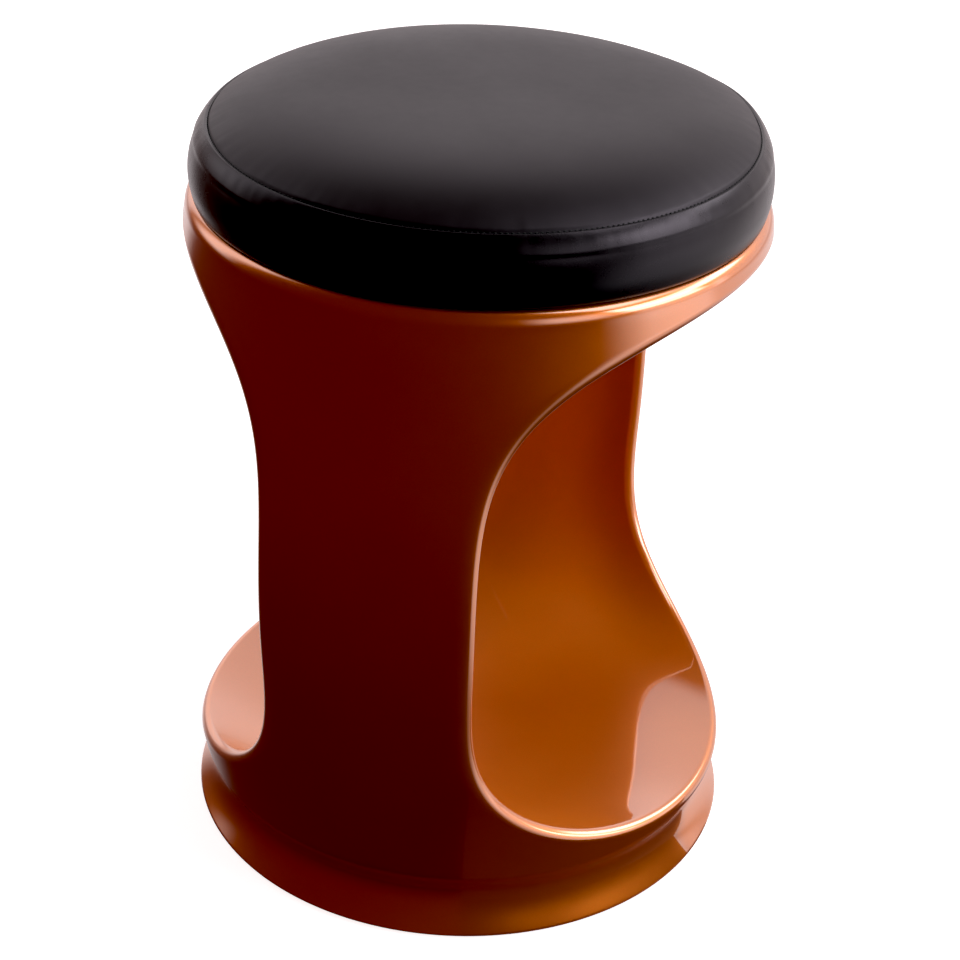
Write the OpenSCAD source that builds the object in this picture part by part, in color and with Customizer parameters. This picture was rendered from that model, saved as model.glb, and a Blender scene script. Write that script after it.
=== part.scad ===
// Round stool.
// A one-piece moulded body has a round rim and a flared round foot joined by two walls, so that a
// tunnel runs through it along X. A leather-covered round seat is bolted on top of it.
// The stool stands on z = 0. Its openings face +X and -X, and its walls stand at +Y and -Y.

/* [Body] */
// Height of the body's flat top, on which the seat rests
body_top = 403; // [390:1:430]
// Radius of the body just under its rim
brow_radius = 164; // [162:0.5:170]
// Radius of the body at the lips of its openings
lip_radius = 162.2; // [158:0.2:170]
// How far the walls swell outwards at mid-height
belly = 18.5; // [0:0.5:25]
// How far the plan at mid-height departs from a circle towards a square
squareness = 0.3; // [0:0.05:0.8]
// Rounding of the rim's outer edge
shoulder_radius = 5; // [3:0.5:7]
// Thickness of the two walls
wall_thickness = 10; // [8:0.5:13]
// Facets along a quarter of an opening's edge
edge_steps = 20; // [12:4:24]

/* [Openings] */
// Angle from the middle of an opening to the wall's rounded edge, in plan
opening_half_angle = 71.8; // [66:0.2:74]
// Height at which the openings are widest
waist_z = 194; // [180:1:220]
// Height of the lips, at the middle of their rounding
lip_z = 44.9; // [42:0.1:56]
// Depth of the openings' upper edges below the flat top
brow_drop = 10.9; // [9:0.1:14]
// Depth of the floor's middle below the tops of the lips
floor_dip = 8; // [4:0.2:10]
// Fullness of the openings' upper corners, across
upper_fullness_across = 2.3; // [2:0.05:2.6]
// Fullness of the openings' upper corners, upwards
upper_fullness_up = 4.8; // [3.5:0.05:5.5]
// Fullness of the openings' lower corners, across
lower_fullness_across = 2.4; // [2:0.05:2.6]
// Fullness of the openings' lower corners, downwards
lower_fullness_down = 3.5; // [3:0.05:4.5]
// Fullness of the tunnel's corners at its middle, across
tunnel_fullness_across = 2.5; // [2.2:0.05:3]
// Fullness of the tunnel's corners at its middle, up and down
tunnel_fullness_up = 4; // [3.5:0.1:5]

/* [Foot] */
// Radius of the foot where it meets the ground
foot_radius = 165; // [160:0.5:172]
// Depth of the groove between the foot and the lips, inside the lips
groove_depth = 7.7; // [5:0.1:10]
// Height of the groove's deepest line
groove_z = 26; // [22:0.5:30]
// Thickness of the foot's wall at the groove, round the hollow under the floor
foot_wall = 8.5; // [6.5:0.5:14]
// Thickness of the floor at its middle
floor_thickness = 12; // [8:0.5:14]

/* [Base] */
// Thickness of the closing plate under the hollow
plate_thickness = 6; // [4:0.5:9]
// Clearance round the closing plate
plate_gap = 0.5; // [0.3:0.1:1]
// Number of blocks and screws that hold the closing plate
plate_screws = 6; // [4:1:8]
// Distance of the ring of blocks and screws from the hollow's wall
block_inset = 28; // [24:1:46]
// Length and width of a fixing block
block_size = 34; // [26:1:36]
// Diameter of a plate screw's shank
plate_screw_d = 4; // [3:0.5:5]
// Length of a plate screw
plate_screw_length = 22; // [18:1:26]
// Diameter of a felt glide
glide_d = 30; // [20:1:36]
// Thickness of a felt glide
glide_height = 2; // [1.5:0.5:4]
// Distance of the ring of glides from the hollow's wall
glide_inset = 20; // [18:1:36]

/* [Seat] */
// Radius of the seat at its fullest
seat_radius = 161.5; // [156:0.5:163]
// How far the seat's lower edge, at the rim of the body, lies inside its fullest line
edge_tuck = 2; // [0.5:0.5:6]
// Height of the seat's fullest line above the body's top
seat_full_height = 13; // [10:0.5:18]
// How far the seam between the top panel and the band lies inside the seat's fullest line
seam_inset = 9.9; // [7:0.1:15]
// Height of the seam above the body's top
seam_height = 38.3; // [32:0.5:48]
// Rise of the top panel from the seam to its middle
crown = 18; // [6:0.5:24]
// Power of the crown's curve, where a larger power gives a flatter middle
crown_power = 6; // [2:0.5:8]
// Thickness of the leather
leather = 1.2; // [0.9:0.1:1.6]
// Thickness of the wadding over the foam
wadding_thickness = 5; // [3:0.5:8]
// Width of the band's hem, turned under the seat board
hem_width = 26; // [18:1:32]
// Distance of the row of stitches from the seam
stitch_inset = 2; // [1.5:0.5:4]
// Diameter of the sewing thread
thread_d = 0.9; // [0.6:0.1:1.2]

/* [Seat fixings] */
// Thickness of the seat board
board_thickness = 12; // [9:0.5:16]
// Number of seat bolts
bolts = 4; // [3:1:6]
// Radius of the ring of seat bolts
bolt_ring = 85; // [60:1:95]
// Diameter of a seat bolt's shank
bolt_d = 6; // [5:1:8]
// Clearance round a shank in its hole, on the diameter
hole_clearance = 0.6; // [0.4:0.1:1.2]
// Thickness of the body left between a bolt's washer and the seat
clamp_thickness = 9; // [6:0.5:10]
// Diameter of a washer
washer_d = 16; // [14:1:18]
// Thickness of a washer
washer_thickness = 1.4; // [1:0.2:2]
// Clearance between the hem and the dust cover inside it
cover_gap = 2.5; // [1:0.5:8]
// Thickness of the dust cover
cover_thickness = 0.6; // [0.4:0.1:0.8]
// Number of staples in the hem
staples_count = 24; // [12:2:36]

/* [Hidden] */

lacquer = [0.62, 0.27, 0.10];
black_leather = [0.09, 0.08, 0.09];
plywood = [0.76, 0.62, 0.43];
zinc = [0.75, 0.75, 0.72];

// Facets of true circles
$fn = 96;
// Clearance between soft or curved faces that would otherwise touch
soft_gap = 0.3;
// Sliding clearance of a pin in its hole, on the diameter
pin_gap = 0.2;
// How far a cut runs past the face that it opens
cut_past = 1;

edge_radius = wall_thickness / 2;
groove_radius = lip_radius - groove_depth;
hollow_radius = groove_radius - foot_wall;
brow_z = body_top - brow_drop;
ceiling_z = brow_z - edge_radius;
floor_z = lip_z + edge_radius - floor_dip;
hollow_top = floor_z - floor_thickness;
foot_bottom = glide_height;
hollow_corner = 3;

// Slope at which the swelling starts at the lips, and at which it ends under the rim
swell_slope = PI * belly / (brow_z - lip_z);
rim_draw = swell_slope * brow_drop / 2;

// Share of the way from the lips up to the brow, from 0 to 1
function rise(z) = max(0, min(1, (z - lip_z) / (brow_z - lip_z)));

function mix(a, b, f) = a + (b - a) * f;

function unit(v) = v / norm(v);

// Concave curve that draws the skin in from the lips to the groove, and meets the swelling smoothly
function cove(z) =
    let (
        h = lip_z - groove_z,
        s = max(0, min(1, (z - groove_z) / h))
    )
    groove_depth * (1 + cos(180 * s)) / 2 + swell_slope * h * s * s * (1 - s);

// Curve that brings the swelling upright between the openings' upper edges and the rim
function rim_curve(z) =
    let (s = max(0, (z - brow_z) / brow_drop))
    rim_draw * (2 * s - s * s);

// Rounding of the rim's outer edge
function shoulder(z) =
    let (s = max(0, min(1, (z - body_top + shoulder_radius) / shoulder_radius)))
    shoulder_radius * (1 - sqrt(1 - s * s));

// Radius of the outer skin at a plan angle and a height
function skin_radius(phi, z) =
    let (
        straight = mix(lip_radius, brow_radius, rise(z)),
        swell = sin(180 * rise(z)),
        r = straight + belly * swell - cove(z) - rim_curve(z) - shoulder(z),
        n = 2 + squareness * pow(swell, 1.5)
    )
    r / pow(pow(abs(cos(phi)), n) + pow(abs(sin(phi)), n), 1 / n);

function skin_point(phi, z) =
    let (r = skin_radius(phi, z))
    [r * cos(phi), r * sin(phi), z];

// Outward normal of the outer skin
normal_step = 0.5;
function skin_normal(phi, z) =
    unit(cross(
        skin_point(phi + normal_step, z) - skin_point(phi - normal_step, z),
        skin_point(phi, z + normal_step) - skin_point(phi, z - normal_step)
    ));

// The edge of the opening at +X is followed by a station k, from 0 at the middle of its brow,
// round by +Y to 2 * edge_steps at the middle of its lip, and back by -Y to 4 * edge_steps.
stations = 4 * edge_steps;
function side_of(k) = k <= 2 * edge_steps ? 1 : -1;
function half_station(k) = k <= 2 * edge_steps ? k : stations - k;
function is_upper(k) = half_station(k) <= edge_steps;
// Share of the way from the middle of the brow or lip to the waist
function share(k) = (is_upper(k) ? half_station(k) : 2 * edge_steps - half_station(k)) / edge_steps;
// Stations gather towards the waist, where the edge runs straight for a long way
function turn_angle(k) = 90 * sin(90 * share(k));

function edge_phi(k) =
    side_of(k) * opening_half_angle
    * pow(sin(turn_angle(k)), 2 / (is_upper(k) ? upper_fullness_across : lower_fullness_across));
function edge_z(k) =
    is_upper(k)
    ? mix(waist_z, brow_z, pow(cos(turn_angle(k)), 2 / upper_fullness_up))
    : mix(waist_z, lip_z, pow(cos(turn_angle(k)), 2 / lower_fullness_down));

// The outer skin is bounded by the rim, the groove and the middle lines of the walls.
// Its stations gather towards the rim and the groove, where the skin curves most.
corner_share = 0.5;
frame_bias = 1.5;
skin_top = body_top - shoulder_radius * 0.1;
function frame_phi(k) = side_of(k) * 90 * min(1, share(k) / corner_share);
function frame_z(k) =
    let (f = max(0, share(k) - corner_share) / (1 - corner_share))
    mix(is_upper(k) ? skin_top : groove_z, waist_z, pow(f, frame_bias));
function on_wall(k) = share(k) >= corner_share;

// Middle line of the tunnel's lining, in the plane x = 0
function tunnel_z(k) =
    mix(waist_z, is_upper(k) ? ceiling_z : floor_z, pow(cos(turn_angle(k)), 2 / tunnel_fullness_up));
function tunnel_point(k) =
    let (
        z = tunnel_z(k),
        half = skin_radius(90, max(z, lip_z)) - wall_thickness
    )
    [0, side_of(k) * half * pow(sin(turn_angle(k)), 2 / tunnel_fullness_across), z];

// Angle through which the rounded edge turns from the outer skin to the lining
brow_turn = 95;
lip_turn = 102;
wall_turn = 186;
function edge_turn(k) = mix(is_upper(k) ? brow_turn : lip_turn, wall_turn, pow(sin(turn_angle(k)), 2));

// One cross-section of the shell: the outer skin, the rounded edge and the tunnel's lining
skin_rings = 7;
nose_rings = 5;
lining_rings = 6;
skin_bias = 1.6;
lining_reach = 0.4;
rings = skin_rings + nose_rings + lining_rings;

function skin_ring(k, j) =
    let (f = pow(j / skin_rings, skin_bias))
    skin_point(mix(frame_phi(k), edge_phi(k), f), mix(frame_z(k), edge_z(k), f));

station_step = 0.02;
function edge_normal(k) = skin_normal(edge_phi(k), edge_z(k));
function edge_point(k) = skin_point(edge_phi(k), edge_z(k));
function edge_tangent(k) =
    let (a = max(k - station_step, 0), b = min(k + station_step, stations))
    k == 0 || k == stations ? [0, 1, 0] : unit(edge_point(b) - edge_point(a));

// Points round the edge, on a circle about the edge's own centre line
function nose_point(k, turn) =
    let (
        out = edge_normal(k),
        free = unit(cross(edge_tangent(k), out))
    )
    edge_point(k) + edge_radius * (out * (cos(turn) - 1) + free * sin(turn));

// Direction in which the lining leaves the rounded edge
function lining_start(k) =
    let (
        out = edge_normal(k),
        free = unit(cross(edge_tangent(k), out)),
        turn = edge_turn(k)
    )
    free * cos(turn) - out * sin(turn);

function lining_ring(k, j) =
    let (
        a = nose_point(k, edge_turn(k)),
        d = tunnel_point(k),
        reach = lining_reach * norm(d - a),
        b = a + lining_start(k) * reach,
        c = d + [reach, 0, 0],
        f = j / lining_rings
    )
    a * pow(1 - f, 3) + b * 3 * f * pow(1 - f, 2) + c * 3 * f * f * (1 - f) + d * pow(f, 3);

function shell_ring(k, j) =
    j <= skin_rings ? skin_ring(k, j)
    : j <= skin_rings + nose_rings ? nose_point(k, edge_turn(k) * (j - skin_rings) / nose_rings)
    : lining_ring(k, j - skin_rings - nose_rings);

function turned(p, half) = half == 0 ? p : [-p[0], -p[1], p[2]];

// Half of the shell is the opening at +X, and the other half is the same turned by 180 degrees.
// The points on the plane x = 0 belong to the first half, and the second half shares them.
function point_id(half, k, j) =
    let (
        kk = k % stations,
        shared = half == 1 && (j == rings || (j == 0 && on_wall(kk)))
    )
    shared ? ((stations - kk) % stations) * (rings + 1) + j
    : (half * stations + kk) * (rings + 1) + j;

// Rings of points below the groove and above the rim, as radius and height
foot_steps = 5;
foot_round = 1;
foot_profile = concat(
    [for (i = [1:foot_steps])
        let (s = i / foot_steps)
        [
            groove_radius + (foot_radius - groove_radius) * (1 - cos(90 * s)),
            mix(groove_z, foot_bottom + foot_round, s)
        ]
    ],
    [
        [foot_radius - foot_round, foot_bottom],
        [hollow_radius, foot_bottom],
        [hollow_radius, hollow_top - hollow_corner],
        [hollow_radius - hollow_corner, hollow_top]
    ]
);
top_profile = [[brow_radius - rim_draw - shoulder_radius, body_top]];

// Stations along the rim and the groove, in order round the body, without the last of each half
frame_last = floor(corner_share * edge_steps + 0.5);
top_stations = [for (i = [-frame_last:frame_last - 1]) (i + stations) % stations];
low_stations = [for (i = [-frame_last:frame_last - 1]) 2 * edge_steps - i];
round_count = 4 * frame_last;
top_ids = [for (half = [0, 1]) for (k = top_stations) point_id(half, k, 0)];
low_ids = [for (half = [0, 1]) for (k = low_stations) point_id(half, k, 0)];
round_angles = [for (i = [0:round_count - 1]) -90 + 360 * i / round_count];

shell_points = [for (half = [0, 1]) for (k = [0:stations - 1]) for (j = [0:rings])
    turned(shell_ring(k, j), half)];
low_points = [for (p = foot_profile) for (a = round_angles) [p[0] * cos(a), p[0] * sin(a), p[1]]];
top_points = [for (p = top_profile) for (a = round_angles) [p[0] * cos(a), p[0] * sin(a), p[1]]];
low_start = len(shell_points);
top_start = low_start + len(low_points);

function low_id(row, i) =
    row < 0 ? low_ids[i % round_count] : low_start + row * round_count + i % round_count;
function top_id(row, i) =
    row < 0 ? top_ids[i % round_count] : top_start + row * round_count + i % round_count;

shell_faces = concat(
    [for (half = [0, 1]) for (k = [0:stations - 1]) for (j = [0:rings - 1]) for (f = [0, 1])
        f == 0
        ? [point_id(half, k, j + 1), point_id(half, k, j), point_id(half, k + 1, j + 1)]
        : [point_id(half, k + 1, j + 1), point_id(half, k, j), point_id(half, k + 1, j)]
    ],
    [for (row = [0:len(foot_profile) - 1]) for (i = [0:round_count - 1]) for (f = [0, 1])
        f == 0
        ? [low_id(row - 1, i), low_id(row - 1, i + 1), low_id(row, i + 1)]
        : [low_id(row - 1, i), low_id(row, i + 1), low_id(row, i)]
    ],
    [for (i = [0:round_count - 1]) for (f = [0, 1])
        f == 0
        ? [top_id(-1, i), top_id(0, i), top_id(0, i + 1)]
        : [top_id(-1, i), top_id(0, i + 1), top_id(-1, i + 1)]
    ],
    [[for (i = [0:round_count - 1]) low_id(len(foot_profile) - 1, i)]],
    [[for (i = [round_count - 1:-1:0]) top_id(0, i)]]
);

// Copies of the children on a ring about the Z axis
module on_ring(count, radius, first = 0) {
    for (i = [0:count - 1])
        rotate([0, 0, first + 360 * i / count])
            translate([radius, 0, 0])
                children();
}

bolt_first = 45;
washer_seat = body_top - clamp_thickness;
washer_room = 1;

// The bolts go up from the tunnel, through counterbores in its ceiling
module body_shell() {
    color(lacquer)
        difference() {
            polyhedron(
                points = concat(shell_points, low_points, top_points),
                faces = shell_faces,
                convexity = 6
            );
            on_ring(bolts, bolt_ring, bolt_first)
                translate([0, 0, waist_z]) {
                    cylinder(h = body_top + cut_past - waist_z, d = bolt_d + hole_clearance);
                    cylinder(h = washer_seat - waist_z, d = washer_d + washer_room);
                }
        }
}

// Parts under the floor
block_bottom = foot_bottom + plate_thickness;
screw_head_d = 2 * plate_screw_d;
screw_head_height = plate_screw_d / 2;
block_ring = hollow_radius - block_inset;
glide_ring = hollow_radius - glide_inset;

module fixing_blocks() {
    color(plywood)
        on_ring(plate_screws, block_ring)
            difference() {
                translate([-block_size / 2, -block_size / 2, block_bottom])
                    cube([block_size, block_size, hollow_top - block_bottom]);
                translate([0, 0, foot_bottom])
                    cylinder(h = plate_screw_length + cut_past, d = plate_screw_d + pin_gap);
            }
}

module base_plate() {
    color([0.13, 0.13, 0.13])
        difference() {
            translate([0, 0, foot_bottom])
                cylinder(h = plate_thickness, r = hollow_radius - plate_gap);
            on_ring(plate_screws, block_ring) {
                cylinder(h = block_bottom + cut_past, d = plate_screw_d + hole_clearance);
                translate([0, 0, foot_bottom])
                    cylinder(
                        h = screw_head_height + hole_clearance / 2,
                        d1 = screw_head_d + hole_clearance,
                        d2 = plate_screw_d + hole_clearance
                    );
            }
        }
}

module plate_screw_set() {
    color(zinc)
        on_ring(plate_screws, block_ring)
            translate([0, 0, foot_bottom]) {
                cylinder(h = screw_head_height, d1 = screw_head_d, d2 = plate_screw_d);
                cylinder(h = plate_screw_length, d = plate_screw_d);
            }
}

module felt_glides() {
    color([0.25, 0.24, 0.23])
        on_ring(plate_screws, glide_ring, 180 / plate_screws)
            cylinder(h = glide_height, d = glide_d);
}

// Seat outline in section, from its lower edge up the band and over the top panel
band_steps = 14;
crown_steps = 14;
seat_edge_radius = seat_radius - edge_tuck;
seam_radius = seat_radius - seam_inset;
seam_z = body_top + seam_height;
full_z = body_top + seat_full_height;
// Angle at which the band's upper curve reaches the seam
seam_angle = 65;
edge_lift = leather;

function lower_band(f) =
    [
        mix(seat_edge_radius, seat_radius, sin(90 * f)),
        mix(body_top + edge_lift, full_z, f)
    ];
function upper_band(f) =
    let (a = seam_angle * f)
    [
        seat_radius - (seat_radius - seam_radius) * (1 - cos(a)) / (1 - cos(seam_angle)),
        full_z + (seam_z - full_z) * sin(a) / sin(seam_angle)
    ];
// Height of the top panel at a radius
function crown_z(r) = seam_z + crown * (1 - pow(r / seam_radius, crown_power));

// Points a given depth under the band, and under the top panel
function band_normal(f) =
    let (d = upper_band(min(1, f + 0.01)) - upper_band(f - 0.01))
    unit([d[1], -d[0]]);
function under_band(depth) = [for (i = [1:band_steps])
    let (f = i / band_steps)
    upper_band(f) - depth * band_normal(f)];
function under_lower_band(depth) = [for (i = [0:band_steps / 2])
    lower_band(2 * i / band_steps) - [depth, 0]];
// The top panel ends on a line across the leather, a clearance away from the band's own end
seam_normal = band_normal(1);
function under_crown(depth) =
    let (
        first = seam_radius - soft_gap * seam_normal[1] - depth * seam_normal[0],
        first_z = seam_z + soft_gap * seam_normal[0] - depth * seam_normal[1]
    )
    [for (i = [0:crown_steps])
        let (
            turn = 90 * i / crown_steps,
            z = crown_z(seam_radius * cos(turn)) - depth * mix(seam_normal[1], 1, sin(turn))
        )
        [first * cos(turn), i == 0 ? first_z : z]
    ];

function reversed(list) = [for (i = [len(list) - 1:-1:0]) list[i]];

board_bottom = body_top + leather + soft_gap;
board_top = board_bottom + board_thickness;
board_radius = seat_edge_radius - leather - soft_gap;
hem_inner_radius = seat_edge_radius - hem_width;

module leather_band() {
    color(black_leather)
        difference() {
            rotate_extrude()
                polygon(concat(
                    [[hem_inner_radius, body_top], [seat_edge_radius - leather, body_top]],
                    under_lower_band(0),
                    under_band(0),
                    reversed(under_band(leather)),
                    reversed(under_lower_band(leather)),
                    [[hem_inner_radius, body_top + leather]]
                ));
            staples(pin_gap / 2, cut_past);
        }
}

module leather_top() {
    color(black_leather)
        difference() {
            rotate_extrude()
                polygon(concat(under_crown(0), reversed(under_crown(leather))));
            seam_thread_ring(thread_d + pin_gap);
        }
}

stitch_radius = seam_radius - stitch_inset;
module seam_thread_ring(d) {
    rotate_extrude()
        translate([stitch_radius, crown_z(stitch_radius)])
            circle(d = d, $fn = 24);
}

module seam_thread() {
    color([0.06, 0.055, 0.06])
        seam_thread_ring(thread_d);
}

// Depths of the layers under the leather's outer face
wadding_depth = leather + soft_gap;
foam_depth = wadding_depth + wadding_thickness + soft_gap;

module wadding_layer() {
    color([0.93, 0.93, 0.90])
        rotate_extrude()
            polygon(concat(
                under_crown(wadding_depth),
                reversed(under_crown(wadding_depth + wadding_thickness))
            ));
}

// The foam lies on the seat board, with a pocket over the flange of each tee nut
foam_top = under_crown(foam_depth);
module foam_core() {
    color([0.90, 0.84, 0.62])
        difference() {
            rotate_extrude()
                polygon(concat(
                    [[0, board_top], [board_radius, board_top]],
                    [for (p = under_band(leather + soft_gap))
                        if (p[1] > board_top + soft_gap && p[1] < foam_top[0][1]) p],
                    foam_top
                ));
            on_ring(bolts, bolt_ring, bolt_first)
                translate([0, 0, board_bottom])
                    cylinder(h = board_thickness + nut_flange + soft_gap, d = nut_flange_d + 2 * soft_gap);
        }
}

// Seat board with its tee nuts
nut_flange = 1.2;
nut_flange_d = 3 * bolt_d;
nut_wall = 1;
nut_end_gap = 3;
nut_barrel_d = bolt_d + 2 * nut_wall;
nut_length = board_thickness - nut_end_gap;
bolt_length = clamp_thickness + leather + soft_gap + board_thickness;

module seat_board() {
    color(plywood)
        difference() {
            translate([0, 0, board_bottom])
                cylinder(h = board_thickness, r = board_radius);
            on_ring(bolts, bolt_ring, bolt_first)
                translate([0, 0, body_top])
                    cylinder(h = board_top + cut_past - body_top, d = nut_barrel_d + pin_gap);
            staples(pin_gap / 2, cut_past);
        }
}

module tee_nuts() {
    color(zinc)
        on_ring(bolts, bolt_ring, bolt_first)
            difference() {
                union() {
                    translate([0, 0, board_top])
                        cylinder(h = nut_flange, d = nut_flange_d);
                    translate([0, 0, board_top - nut_length])
                        cylinder(h = nut_length, d = nut_barrel_d);
                }
                translate([0, 0, board_bottom])
                    cylinder(h = board_thickness + nut_flange + cut_past, d = bolt_d + pin_gap);
            }
}

module bolt_washers() {
    color(zinc)
        on_ring(bolts, bolt_ring, bolt_first)
            translate([0, 0, washer_seat - washer_thickness])
                difference() {
                    cylinder(h = washer_thickness, d = washer_d);
                    translate([0, 0, -cut_past])
                        cylinder(h = washer_thickness + 2 * cut_past, d = bolt_d + hole_clearance);
                }
}

// Button head of a bolt, with a hexagonal socket, in shares of the shank's diameter
bolt_head_d = bolt_d * 1.75;
bolt_head_crown_d = bolt_d * 1.4;
bolt_head_height = bolt_d * 0.55;
socket_d = bolt_d * 0.66;
socket_depth = bolt_d * 0.33;
module seat_bolts() {
    color(zinc)
        on_ring(bolts, bolt_ring, bolt_first)
            translate([0, 0, washer_seat - washer_thickness])
                difference() {
                    union() {
                        cylinder(h = bolt_length + washer_thickness, d = bolt_d);
                        translate([0, 0, -bolt_head_height])
                            cylinder(h = bolt_head_height, d1 = bolt_head_crown_d, d2 = bolt_head_d);
                    }
                    translate([0, 0, -bolt_head_height - cut_past])
                        cylinder(h = socket_depth + cut_past, d = socket_d, $fn = 6);
                }
}

module dust_cover() {
    color([0.10, 0.10, 0.11])
        difference() {
            translate([0, 0, board_bottom - cover_thickness])
                cylinder(h = cover_thickness, r = hem_inner_radius - cover_gap);
            on_ring(bolts, bolt_ring, bolt_first)
                translate([0, 0, body_top])
                    cylinder(h = board_thickness, d = nut_barrel_d + hole_clearance);
        }
}

// Staples through the hem into the seat board, with their crowns sunk flush in the leather
staple_width = 10;
staple_wire = 0.7;
staple_leg = 6;
staple_ring = seat_edge_radius - hem_width / 2;
module staples(gap, below) {
    across = staple_wire + 2 * gap;
    on_ring(staples_count, staple_ring, 180 / staples_count)
        translate([-across / 2, 0, body_top - below]) {
            translate([0, -staple_width / 2 - gap, 0])
                cube([across, staple_width + 2 * gap, staple_wire + gap + below]);
            for (side = [-1, 1])
                translate([0, side * (staple_width - staple_wire) / 2 - across / 2, 0])
                    cube([across, across, staple_leg + gap + below]);
        }
}

module hem_staples() {
    color(zinc)
        staples(0, 0);
}

body_shell();
fixing_blocks();
base_plate();
plate_screw_set();
felt_glides();
seat_board();
tee_nuts();
seat_bolts();
bolt_washers();
dust_cover();
hem_staples();
foam_core();
wadding_layer();
leather_top();
leather_band();
seam_thread();
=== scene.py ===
"""Round stool: a lacquered one-piece body with a tunnel through it, under a round leather cushion."""
import logging
import math
from dataclasses import dataclass, field
from enum import Enum

import bmesh
import bpy
import numpy as np
from mathutils import Matrix, Vector


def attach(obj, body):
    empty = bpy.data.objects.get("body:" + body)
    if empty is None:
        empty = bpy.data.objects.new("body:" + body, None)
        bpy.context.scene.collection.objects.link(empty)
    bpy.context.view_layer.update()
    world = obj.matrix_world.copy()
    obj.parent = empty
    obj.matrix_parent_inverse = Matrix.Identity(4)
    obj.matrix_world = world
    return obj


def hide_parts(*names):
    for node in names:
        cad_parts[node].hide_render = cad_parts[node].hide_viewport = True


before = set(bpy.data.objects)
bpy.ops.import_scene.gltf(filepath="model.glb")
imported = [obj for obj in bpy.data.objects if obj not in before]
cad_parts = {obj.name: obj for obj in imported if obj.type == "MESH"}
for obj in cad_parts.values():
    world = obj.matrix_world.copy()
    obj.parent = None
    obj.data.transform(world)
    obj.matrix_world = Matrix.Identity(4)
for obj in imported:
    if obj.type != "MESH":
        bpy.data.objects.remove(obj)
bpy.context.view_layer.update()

log = logging.getLogger("round_stool")

Colour = tuple[float, float, float]
Pair = tuple[float, float]
Socket = bpy.types.NodeSocket


# Small helpers for meshes


def placed(name: str, data: bpy.types.ID) -> bpy.types.Object:
    """Makes an object and links it to the scene.

    Args:
        name: name of the new object.
        data: its mesh or camera.

    Returns:
        The new object.
    """
    made = bpy.data.objects.new(name, data)
    bpy.context.collection.objects.link(made)
    return made


def mesh_object(name: str, points: np.ndarray, faces: list[tuple[int, ...]]) -> bpy.types.Object:
    """Makes an object with a closed, outward-facing mesh.

    Args:
        name: name of the new object.
        points: corners, one row each, in metres.
        faces: corner numbers of each face.

    Returns:
        The new object, with its doubles merged.
    """
    mesh = bpy.data.meshes.new(name)
    mesh.from_pydata(points.tolist(), [], faces)
    outward(mesh)
    return placed(name, mesh)


def outward(mesh: bpy.types.Mesh) -> None:
    """Merges a mesh's doubles, drops faces without area and turns the rest outwards.

    Args:
        mesh: the mesh to change.
    """
    sheet = bmesh.new()
    sheet.from_mesh(mesh)
    bmesh.ops.remove_doubles(sheet, verts=sheet.verts, dist=2e-6)
    bmesh.ops.dissolve_degenerate(sheet, edges=sheet.edges, dist=1e-7)
    bmesh.ops.recalc_face_normals(sheet, faces=sheet.faces)
    sheet.to_mesh(mesh)
    sheet.free()


def grid_faces(rows: int, columns: int, start: int = 0, closed: bool = True) -> list[tuple[int, ...]]:
    """Quads between the rows of a grid of points.

    Args:
        rows: number of rows of points.
        columns: number of points in a row.
        start: number of the grid's first point.
        closed: whether each row runs round to its first point again.

    Returns:
        Four corner numbers for each quad.
    """
    last = columns if closed else columns - 1
    return [
        (
            start + row * columns + column,
            start + row * columns + (column + 1) % columns,
            start + (row + 1) * columns + (column + 1) % columns,
            start + (row + 1) * columns + column,
        )
        for row in range(rows - 1)
        for column in range(last)
    ]


def revolved(name: str, profile: np.ndarray, turns: int) -> bpy.types.Object:
    """Turns a closed profile about the Z axis.

    Args:
        name: name of the new object.
        profile: radius and height of each point of the closed profile.
        turns: number of steps round the axis.

    Returns:
        The new object. Points on the axis become poles.
    """
    angles = np.linspace(0, 2 * np.pi, turns, endpoint=False)
    points = np.array(
        [[r * np.cos(a), r * np.sin(a), z] for r, z in np.vstack([profile, profile[:1]]) for a in angles]
    )
    return mesh_object(name, points, grid_faces(len(profile) + 1, turns))


def baked(made: bpy.types.Object) -> bpy.types.Object:
    """Applies an object's modifiers to its mesh.

    Args:
        made: the object, with live modifiers.

    Returns:
        The same object with a plain mesh and no modifiers.
    """
    graph = bpy.context.evaluated_depsgraph_get()
    mesh = bpy.data.meshes.new_from_object(made.evaluated_get(graph), depsgraph=graph)
    made.modifiers.clear()
    made.data = mesh
    return made


def smooth(made: bpy.types.Object, crease: float) -> None:
    """Shades an object smoothly, with sharp edges where faces meet at more than the crease angle."""
    made.data.shade_smooth()
    made.data.set_sharp_from_angle(angle=math.radians(crease))


# Node trees


def socket_of(sockets: bpy.types.bpy_prop_collection, key: str | int) -> Socket:
    """Finds a socket by its identifier, or else by its name or number."""
    known = {socket.identifier: socket for socket in sockets}
    return known[key] if key in known else sockets[key]


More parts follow.
